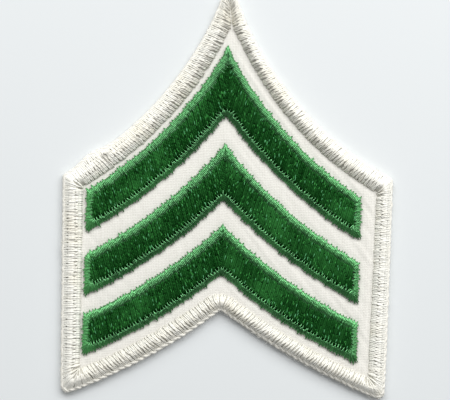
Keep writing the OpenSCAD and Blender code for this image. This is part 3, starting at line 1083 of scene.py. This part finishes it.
class PATCH_OT_cloth(bpy.types.Operator):
    """Weaves the ground cloth: a slab over a grid of (share across, share up) between its outline's
    sides and its lower and upper edges, pulled in along the stitching"""
    bl_idname = "patch.cloth"
    bl_label = "Ground Cloth"

    def execute(self, context):
        sizes, colours = sizes_of(context), colours_of(context)
        border = border_outline()
        edge = border.loop(CLOTH_EDGE_SHARE, EDGE_STEPS)
        material = cloth_material(colours.cloth, colours.cloth_shade)
        top = cloth_grid(edge, CLOTH_ROWS, CLOTH_COLUMNS)
        holes = [border.loop(1, EDGE_STEPS)]
        holes += [outline.loop(0, EDGE_STEPS) for outline in chevron_outlines(border)]
        flat = top.reshape(-1, 2)
        near = np.min([distance_to(flat, loop) for loop in holes], 0).reshape(top.shape[:2])
        rng = np.random.default_rng(CLOTH_SEED)
        dent = sizes.pucker / MM * row(near, 0, PUCKER_HALF)
        slant = top[..., 0] * 1.3 + top[..., 1]
        ripple = RIPPLE * slow_noise(rng, slant, RIPPLE_RUN, range(6, 40, 3))
        upper = raised(top, CLOTH_TOP - dent + ripple * np.clip(near, 0, 1))
        lower = raised(top, CLOTH_LOW + 0.3 * ripple)
        piece = put_mesh("ground_cloth_weave", [slab(upper, lower)], [material],
                         "ground_cloth")
        size = edge.max(0) - edge.min(0)
        area = abs(cross(edge, np.roll(edge, -1, 0)).sum()) / 2
        tuple(size * MM)
        area * MM**2
        return {"FINISHED"}


def cloth_grid(edge, rows, across):
    """Grid points inside a closed edge: x runs between the two sides, y between the lower and the
    upper edge at that x."""
    left, right = edge[:, 0].min() + CLOTH_MARGIN, edge[:, 0].max() - CLOTH_MARGIN
    x = left + (right - left) * (1 - np.cos(np.linspace(0, np.pi, across))) / 2
    first, last = sorted((np.argmin(edge[:, 0]), np.argmax(edge[:, 0])))
    one, other = edge[first:last + 1], np.vstack([edge[last:], edge[:first + 1]])
    lows, highs = sorted((one, other), key=lambda run: run[:, 1].mean())
    low, high = [np.interp(x, *run[np.argsort(run[:, 0])].T) for run in (lows, highs)]
    share = np.linspace(0, 1, rows)[:, None]
    y = low * (1 - share) + high * share
    return np.stack([np.broadcast_to(x, y.shape), y], -1)


def distance_to(points, loop):
    """Distance from each point to the nearest of a loop's points."""
    nearest = np.full(len(points), np.inf)
    for part in np.array_split(loop, 12):
        gap = np.linalg.norm(points[:, None] - part[None], axis=2).min(1)
        nearest = np.minimum(nearest, gap)
    return nearest


class PATCH_OT_border(bpy.types.Operator):
    """Stitches the border: a padded core, a section carried round the outline and painted dark as
    shade, and over it threads that leave their needle holes two by two, spread over the crest and go
    round the edge. A snag parts them at one place, with painted shade in its opening, and soil and
    painted shade darken their inner slope where the habits say so"""
    bl_idname = "patch.border"
    bl_label = "Border"

    def execute(self, context):
        sizes, colours = sizes_of(context), colours_of(context)
        material = thread_material("border_thread", colours.cream, colours.cream_shade, colours.stain,
                                   colours.cream, colours.cream_shine, BORDER_IOR, BORDER_ROUGH,
                                   BORDER_FUZZ)
        rng = np.random.default_rng(BORDER_SEED)
        rungs = border_rungs()
        count, pitch = even_count(rungs.length, sizes.border_spacing / MM)
        each, pair = (count, 1), (count // 2, 1)
        share, height = columns(BORDER_THREAD)
        rest = (np.arange(count) + 0.5 + rng.normal(0, PLACE_SPREAD, count)) * pitch
        lean, reach, tuck, outer_row, row_at, row_half, inner_row, unrest, soil_and_shade = [
            rungs.habit(rest, column)[:, None] for column in columns(BORDER_HABITS)]

        # Random values: one for each thread, or one for each pair of threads
        firm = twice(0.6 + 0.55 * rng.random(pair))
        off = twice(rng.normal(0, 1, pair)) * (0.01 + 0.07 * unrest)
        stretch = twice(0.6 + 0.8 * rng.random(pair))
        turn = (twice(rng.normal(0, PAIR_TURN, pair)) + rng.normal(0, OWN_TURN, each)) * unrest
        sparse = np.roll(twice(rng.random(pair) > SKIPPED), -1)
        middle_row = row(share, row_at + off, row_half * stretch)
        pull = np.clip(firm * np.maximum(middle_row, inner_row * row(share, *INNER_HOLES)), 0, 1)
        outer_pull = outer_row * sparse * row(share, *OUTER_ROW)
        gather = np.maximum(pull, outer_pull)
        u = rest[:, None] + WAVE * np.sin(share * WAVE_RATE + WAVE_PHASE * rng.random(each))
        u = drawn_together(u, rng, pitch, 0, pull, 0.30 * pitch, 0.10)
        u = drawn_together(u, rng, pitch, 1, outer_pull, 0.5 * pitch, 0.06)

        inner = reach + twice(rng.normal(0, END_SPREAD, pair))
        shorter = twice((np.arange(count // 2) % 3 > 0)[:, None] * (0.5 + 0.5 * rng.random(pair)))
        inner = inner - SHORTER * rungs.crowded(rest)[:, None] * shorter
        tucked = share + tuck * (1 - share * 2)
        shares = np.where(share > 0.5, 0.5 + (share - 0.5) * (inner - 0.5) / 0.5, tucked)
        shares = rungs.squeezed(rest, shares, BORDER_FULL)
        off_snag = u - np.interp(SNAG_EDGE, rungs.edge, rungs.u)
        snag = row(off_snag, 0, SNAG_ALONG) * row(share, SNAG_SHARE, SNAG_ACROSS)
        u = u + SNAG_HALF * np.tanh(off_snag / SNAG_SHARPNESS) * snag
        plane = rungs.lay(u, shares, np.tan(np.radians(lean + turn)) * LEAN_RUN)
        lift = rungs.lowered(rest, BORDER_FULL)[:, None] * (1 + rng.normal(0, 0.03, each))
        rise = np.where(height > 0, BORDER_RISE * lift, np.where(share > 0.5, BORDER_RISE, CLOTH_TOP))
        lines = raised(plane, CLOTH_TOP + rise * height)

        narrow = 1 - GATHERED * gather - 0.2 * soft_step(share, 0.9, 1.02)
        full = 1.30 - 0.26 * unrest + rng.normal(0, 0.05, each)
        wide = sizes.border_thread / MM / 2 * narrow * full
        # Soil and painted shade on the inner slope, stronger on some threads than on others
        soil_and_shade_row = row(share, row_at + 0.1 + 0.05 * off, SOIL_AND_SHADE_HALF)
        soil_and_shade_dark = soil_and_shade * SOIL_AND_SHADE_GAIN * rng.random(each)**2 * soil_and_shade_row
        # Painted shade where the threads dive into their inner holes and in the snag's opening, with
        # the soil and painted shade of the inner slope
        deep = np.maximum((share - 0.96) * 4, 0) + soil_and_shade_dark + SNAG_SHADE * snag
        # A random tone, plus painted light where the threads lie evenly, most on the two sides
        tone = rng.random(count) + 0.6 * (1 - unrest[:, 0])
        threads = strands(lines, back_along(plane), wide, BORDER_THICK[0] + BORDER_THICK[1] * gather,
                          tone, np.clip(deep, 0, 0.85))
        # The core below the threads is painted dark: painted shade in the gaps between them
        body = rungs.core(BORDER_CORE, BORDER_FULL, CLOTH_TOP * 0.98, BORDER_RISE,
                          columns(BORDER_HABITS)[1] - 0.02, 0.7)
        put_mesh("border_stitching", threads + [body], [material], "border")
        return {"FINISHED"}


class PATCH_OT_purl(bpy.types.Operator):
    """Lays the twisted strand along the border's outer edge: two plies on a helix about a line that
    follows the outline, flattened a little"""
    bl_idname = "patch.purl"
    bl_label = "Purl Strand"

    def execute(self, context):
        sizes = sizes_of(context)
        rungs = border_rungs()
        rng = np.random.default_rng(PURL_SEED)
        turns = round(rungs.length / (sizes.purl_twist / MM))
        u = np.linspace(0, rungs.length, turns * PURL_TURN_STEPS, endpoint=False)
        tuck = rungs.habit(u, columns(BORDER_HABITS)[2])
        middle = rungs.lay(u, tuck + PURL_SHARE)
        inward = unit(rungs.at(u, rungs.inner) - rungs.at(u, rungs.outer))
        swell = 1 + 0.2 * slow_noise(rng, u, rungs.length, range(60, 320, 17))
        uneven = rungs.habit(u, PURL_HABITS) * swell
        slack = 0.05 * slow_noise(rng, u, rungs.length, range(30, 300, 13))
        shells = []
        for ply in (0, 1):
            angle = 2 * np.pi * (turns * u / rungs.length + ply / 2)
            plane = middle + inward * (PURL_W / 2 * np.cos(angle) * uneven + slack)[:, None]
            line = raised(plane, PURL_Z + PURL_H / 2 * np.sin(angle) * uneven)
            shells.append(closed_strand(line, PURL_PLY / 2, 0.35 + 0.3 * ply))
        put_mesh("purl_strand", shells, [bpy.data.materials["border_thread"]])
        return {"FINISHED"}


class PATCH_OT_fuzz(bpy.types.Operator):
    """Frays the border: short fibres that leave it sideways, each an arc whose height and turn
    follow a parabola along its length"""
    bl_idname = "patch.fuzz"
    bl_label = "Border Fuzz"

    def execute(self, context):
        rungs = border_rungs()
        rng = np.random.default_rng(FUZZ_SEED)
        each = (FUZZ_COUNT, 1)
        u = rungs.length * rng.random(each)
        outside = rng.random(each) < FUZZ_OUTSIDE
        begin = np.where(outside, 0.04 + 0.06 * rng.random(each), rng.random(each))
        run = np.linspace(0, 1, 8)
        reach = FUZZ_REACH * (0.4 + rng.random(each))
        along = rng.normal(0, 0.7, each) * run + rng.normal(0, 0.5, each) * run**2
        share = begin - reach / 4.3 * run * np.where(begin > 0.12, rng.normal(0, 0.8, each), 1)
        plane = rungs.lay(u + along, share)
        top = np.interp(begin, *columns(FUZZ_HEIGHTS))
        heights = top + 0.06 + (0.5 * run - 0.7 * run**2) * rng.random(each) * 0.6
        side = raised(left_of(unit(np.gradient(plane, axis=1))), 0.0)
        shells = strands(raised(plane, np.maximum(heights, FUZZ_LOWEST)), side,
                         FUZZ_HALF[0] * (1.2 - run), FUZZ_HALF[1],
                         0.5 + 0.5 * rng.random(FUZZ_COUNT), 0.0, sides=4)
        put_mesh("border_fuzz", shells, [bpy.data.materials["border_thread"]])
        return {"FINISHED"}


def green_material(colours, name, shine, ior, rough):
    """The green thread, with what it mirrors, how strongly and how sharply."""
    return thread_material(name, colours.green, colours.green_shade, colours.green,
                           colours.green_sheen, shine, ior, rough, GREEN_FUZZ)


class PATCH_OT_edgings(bpy.types.Operator):
    """Stitches the three edgings: a padded core and a zigzag of threads over it, which meet two by
    two at pointed needle holes outside and, on the low sides, at holes inside too. Most of a thread
    is glossy. The outer slope of the low sides and the inner slope of the others wear a duller copy
    of its material, which mirrors less: painted shade"""
    bl_idname = "patch.edgings"
    bl_label = "Chevron Edgings"

    def execute(self, context):
        sizes, colours = sizes_of(context), colours_of(context)
        # The glossy material and a shaded copy of it that mirrors less, as painted shade on some slopes
        materials = [
            green_material(colours, name, colours.green_shine, ior, EDGING_ROUGH)
            for name, ior in (("edging_thread", EDGING_IOR), ("edging_shaded_thread", EDGING_SHADED_IOR))]
        for number, (name, outline) in enumerate(zip(CHEVRONS, chevron_outlines(border_outline()))):
            rng = np.random.default_rng(EDGING_SEED + number)
            rungs = Rungs(outline, EDGING_FAN, EDGING_SEAM)
            threads = edging_threads(rungs, sizes, rng)
            # The core below the threads is painted dark: painted shade in the gaps between them
            body = rungs.core(EDGING_CORE, EDGING_FULL, EDGING_RISE, EDGING_RISE * 0.9, None, 1.0)
            put_mesh(f"{name}_edging_stitching", threads + [body], materials,
                     f"{name}_chevron_edging")
        return {"FINISHED"}


def edging_threads(rungs, sizes, rng):
    """The zigzag of one edging. Each thread meets one neighbour outside and the other inside."""
    count, pitch = even_count(rungs.length, sizes.edging_spacing / MM)
    share, height, low_height = columns(EDGING_THREAD)
    rest = (np.arange(count) + 0.5) * pitch
    low_side = rungs.habit(rest, LOW_SIDES)[:, None]
    inner_pull = soft_step(share, 0.55, 0.9) * low_side
    outer_pull = 1 - soft_step(share, 0.02, 0.26)
    u = rest[:, None] + 0 * share
    u = drawn_together(u, rng, pitch, 0, inner_pull, 0.15 * pitch, 0.09)
    u = drawn_together(u, rng, pitch, 1, outer_pull, 0.2 * pitch, 0.07)
    low = np.roll(twice(np.clip(rng.normal(0.02, 0.09, count // 2), -0.14, 0.2)), -1)
    low = low + rungs.habit(rest, EDGING_STARTS)
    low = low - PEAK_REACH * row(np.interp(rest, rungs.u, rungs.edge), PEAK_EDGE, PEAK_HALF)
    high = rng.normal(0.97, 0.08, count)
    plane = rungs.lay(u, low[:, None] + (high - low)[:, None] * share)
    lift = rungs.lowered(rest, EDGING_FULL)[:, None] * (1 + rng.normal(0, 0.04, (count, 1)))
    height = height * (1 - low_side) + low_height * low_side
    lines = raised(plane, CLOTH_TOP + EDGING_RISE * height * np.where(height > 0.2, lift, 1))

    narrow = np.interp(share, *columns(EDGING_TAPER)) * (1 - GATHERED * inner_pull)
    wide = sizes.edging_thread / MM / 2 * narrow * (1 + rng.normal(0, 0.06, (count, 1)))
    # Painted shade: dark where the threads dive at their outer holes and at the inner holes of the low
    # sides, and on the inner slope of the other sides
    deep = np.clip(np.maximum(0.3 - share * 4, (share - 0.96) * 6 * low_side), 0, 0.8)
    deep = np.maximum(deep, 0.7 * soft_step(share, 0.6, 1.05) * (1 - low_side))
    # Painted light and shade for each half edge, a random tone, and a slow wave of tone along the
    # edging
    tone = rungs.habit(rest, EDGING_PAINTED_LIGHT) + rng.normal(0, 0.12, count)
    tone = np.clip(tone + 0.07 * slow_noise(rng, rest, rungs.length, range(9, 60, 4)), 0, 1.2)
    side = back_along(plane)
    thick = EDGING_THICK[0] + EDGING_THICK[1] * inner_pull
    threads = []
    for is_low in (False, True):
        part = (low_side[:, 0] > 0.6) == is_low
        threads += strands(lines[part], side[part], wide[part], thick[part], tone[part], deep[part],
                           slot=(share[1:] < SHADED_COPY_SHARE) == is_low)
    return threads


class PATCH_OT_fills(bpy.types.Operator):
    """Stitches the three filled middles: lines that lean the same way across each arm, cut into
    stitches that dip where the needle goes down, with painted shade in the dips and painted light
    towards the upper rim, raised flecks of thread painted light as glints, some of them as glossy
    as the edgings, and a slab below painted dark as shade"""
    bl_idname = "patch.fills"
    bl_label = "Chevron Fills"

    def execute(self, context):
        sizes, colours = sizes_of(context), colours_of(context)
        materials = [green_material(colours, "fill_thread", colours.fill_shine, FILL_IOR, FILL_ROUGH),
                     bpy.data.materials["edging_thread"]]
        for number, (name, outline) in enumerate(zip(CHEVRONS, chevron_outlines(border_outline()))):
            rng = np.random.default_rng(FILL_SEED + number)
            loop = outline.loop(FILL_SHARE, FILL_STEPS)
            shells = []
            for hand in (-1, 1):
                shells += fill_half(loop, -outline.middle[0], hand, sizes, rng)
            shells.append(fill_core(outline.loop(FILL_CORE_SHARE, FILL_STEPS)))
            put_mesh(f"{name}_fill_stitching", shells, materials, f"{name}_chevron_fill")
        return {"FINISHED"}


def fill_crown(up):
    """Height of a fill's threads, by share of the way up an arm."""
    return CLOTH_TOP + FILL_LOW + (FILL_HIGH - FILL_LOW) * up**1.5


def fill_half(loop, axis_x, hand, sizes, rng):
    """The stitches and flecks of one arm. hand is -1 on the left, where the threads lean to the
    left."""
    half = loop[(loop[:, 0] - axis_x) * hand > 0]
    jump = np.argmax(np.linalg.norm(half - np.roll(half, 1, 0), axis=1))
    half = np.roll(half, -jump, 0)
    way = np.array([hand * math.sin(sizes.fill_lean), math.cos(sizes.fill_lean)])
    beside = left_of(way)
    reach = half @ beside
    spacing, stitch = sizes.fill_spacing / MM, sizes.fill_stitch / MM
    places = np.arange(reach.min() + spacing * 0.6, reach.max() - spacing * 0.5, spacing)
    places = places + rng.normal(0, 0.03, len(places))
    ways = np.broadcast_to(way, (len(places), 2))
    low, high = [cast(beside * places[:, None] + end * way * FAR, -end * ways, half) for end in (-1, 1)]
    span = (high - low) @ way
    side = -raised(beside[None, None], 0.0)

    most = int(span.max() / stitch) + 2
    phase = np.arange(len(places)) * STITCH_PHASE + rng.normal(0, 0.25, len(places))
    cuts = (np.modf(phase)[0][:, None] % 1 + np.arange(-1, most)) * stitch
    cuts = np.clip(cuts + rng.normal(0, STITCH_SPREAD, cuts.shape), 0, span[:, None])
    kept = np.diff(cuts) > LEAST_STITCH
    line = np.broadcast_to(np.arange(len(places))[:, None], kept.shape)[kept]
    begin, end = cuts[:, :-1][kept], cuts[:, 1:][kept]
    share, dip = columns(FILL_STITCH)
    at = begin[:, None] + (end - begin)[:, None] * share
    up = at / span[line][:, None]
    crown = fill_crown(up) - RIM_DROP * np.exp(-at / RIM_RUN)
    heights = crown - FILL_DIP * dip + rng.normal(0, 0.025, (len(begin), 1))
    plane = low[line][:, None] + way * at[..., None]
    plane = plane + beside * rng.normal(0, 0.03, (len(begin), 1, 1))
    wide = sizes.fill_thread / MM / 2 * np.interp(share, *columns(FILL_TAPER))
    # A random tone, and painted light that grows towards the arm's upper rim
    tone = 0.2 * rng.random(len(begin)) + 0.1 * up[:, 3]
    # Painted shade where a stitch dips into its holes
    deep = 0.55 * dip**2
    shells = strands(raised(plane, heights), side, wide[None], FILL_THICK, tone, deep[None])

    count = int(span.sum() * FLECKS_PER_MM)
    line = rng.choice(len(places), count, p=span / span.sum())
    run = np.linspace(-0.5, 0.5, 5) * (0.7 + 0.9 * rng.random((count, 1)))
    at = span[line][:, None] * (0.06 + 0.92 * rng.random((count, 1))) + run
    up = np.clip(at / span[line][:, None], 0, 1)
    plane = low[line][:, None] + (way + beside * rng.normal(0, 0.12, (count, 1, 1))) * at[..., None]
    lines = raised(plane, fill_crown(up) + 0.10 - 0.46 * run)
    wide = sizes.fill_thread / MM / 5 * (1.05 - (run / np.abs(run).max(1, keepdims=True))**2)
    # The flecks are painted light: bright tones that stand for glints
    tone = 0.9 + 0.5 * rng.random(count)
    for slot in (0, 1):
        part = (np.arange(count) % 5 < GLOSSY_FLECKS) == (slot == 1)
        shells += strands(lines[part], side, wide[part], FLECK_THICK, tone[part], 0.0, slot=slot)
    return shells


def fill_core(loop):
    """What lies under the stitches: a slab over the filled outline, lower than their crown, and painted
    dark: painted shade between the threads.
    """
    grid = cloth_grid(loop, 8, 90)
    top, bottom = FILL_LOW - FILL_DIP, -FILL_CORE_SUNK
    return slab(raised(grid, CLOTH_TOP + top), raised(grid, CLOTH_TOP + bottom), 0.1, 0.85)


class PATCH_OT_stage(bpy.types.Operator):
    """Sets the pale floor, a long lamp aimed at the patch with its long side level, the studio's
    even light, and the camera straight above the patch"""
    bl_idname = "patch.stage"
    bl_label = "Stage"

    def execute(self, context):
        colours = colours_of(context)
        scene = context.scene
        floor = bpy.data.meshes.new("floor")
        floor.from_pydata([(x * FLOOR_HALF, y * FLOOR_HALF, FLOOR_Z)
                           for x, y in ((-1, -1), (1, -1), (1, 1), (-1, 1))], [], [(0, 1, 2, 3)])
        shader = Shader("floor_paint", Roughness=0.6, Specular_IOR_Level=0.3)
        floor.materials.append(shader.finish(opaque(colours.floor)))
        added("floor", floor)

        lamp = bpy.data.lights.new("long_lamp", "AREA")
        lamp.shape = "RECTANGLE"
        lamp.size, lamp.size_y = LAMP_SIZE
        lamp.energy = LAMP_POWER
        holder = added("long_lamp", lamp)
        holder.location = LAMP_PLACE
        x, y, z = LAMP_PLACE
        holder.rotation_euler = (math.atan2(math.hypot(x, y), z), 0, math.atan2(y, x) + math.pi / 2)
        scene.world = bpy.data.worlds.new("studio")
        scene.world.use_nodes = True
        background = scene.world.node_tree.nodes["Background"].inputs
        background["Color"].default_value = (1, 1, 1, 1)
        background["Strength"].default_value = STUDIO_LIGHT
        scene.view_settings.view_transform = "Standard"

        lens = bpy.data.cameras.new("camera")
        lens.lens = CAMERA_LENS
        lens.sensor_width = SENSOR_W
        lens.clip_start = 0.01
        lens.clip_end = 10.0
        camera = added("camera", lens)
        height = CLOTH_TOP + FIELD_W * CAMERA_LENS / SENSOR_W
        camera.location = (AIM_X * MM, AIM_Y * MM, height * MM)
        camera.rotation_euler = (0, 0, CAMERA_TURN)
        scene.camera = camera
        return {"FINISHED"}


class PATCH_PT_panel(bpy.types.Panel):
    """Lists the patch's pieces, sizes and colours in the sidebar"""
    bl_idname = "PATCH_PT_panel"
    bl_label = "Rank Chevron Patch"
    bl_space_type = "VIEW_3D"
    bl_region_type = "UI"
    bl_category = "Patch"

    def draw(self, context):
        for operator in OPERATORS:
            self.layout.operator(operator.bl_idname)
        for group in (sizes_of(context), colours_of(context)):
            box = self.layout.box()
            for name in group.bl_rna.properties.keys():
                if name not in ("rna_type", "name"):
                    box.prop(group, name)


OPERATORS = (
    PATCH_OT_cloth,
    PATCH_OT_border,
    PATCH_OT_purl,
    PATCH_OT_fuzz,
    PATCH_OT_edgings,
    PATCH_OT_fills,
    PATCH_OT_stage,
)
CLASSES = (PatchSizes, PatchColours, *OPERATORS, PATCH_PT_panel)


def register():
    for each in CLASSES:
        bpy.utils.register_class(each)
    bpy.types.Scene.patch_sizes = PointerProperty(type=PatchSizes)
    bpy.types.Scene.patch_colours = PointerProperty(type=PatchColours)


def unregister():
    del bpy.types.Scene.patch_colours
    del bpy.types.Scene.patch_sizes
    for each in reversed(CLASSES):
        bpy.utils.unregister_class(each)


def main():
    register()
    bpy.ops.patch.cloth()
    bpy.ops.patch.border()
    bpy.ops.patch.purl()
    bpy.ops.patch.fuzz()
    bpy.ops.patch.edgings()
    bpy.ops.patch.fills()
    bpy.ops.patch.stage()


if __name__ == "__main__":
    main()
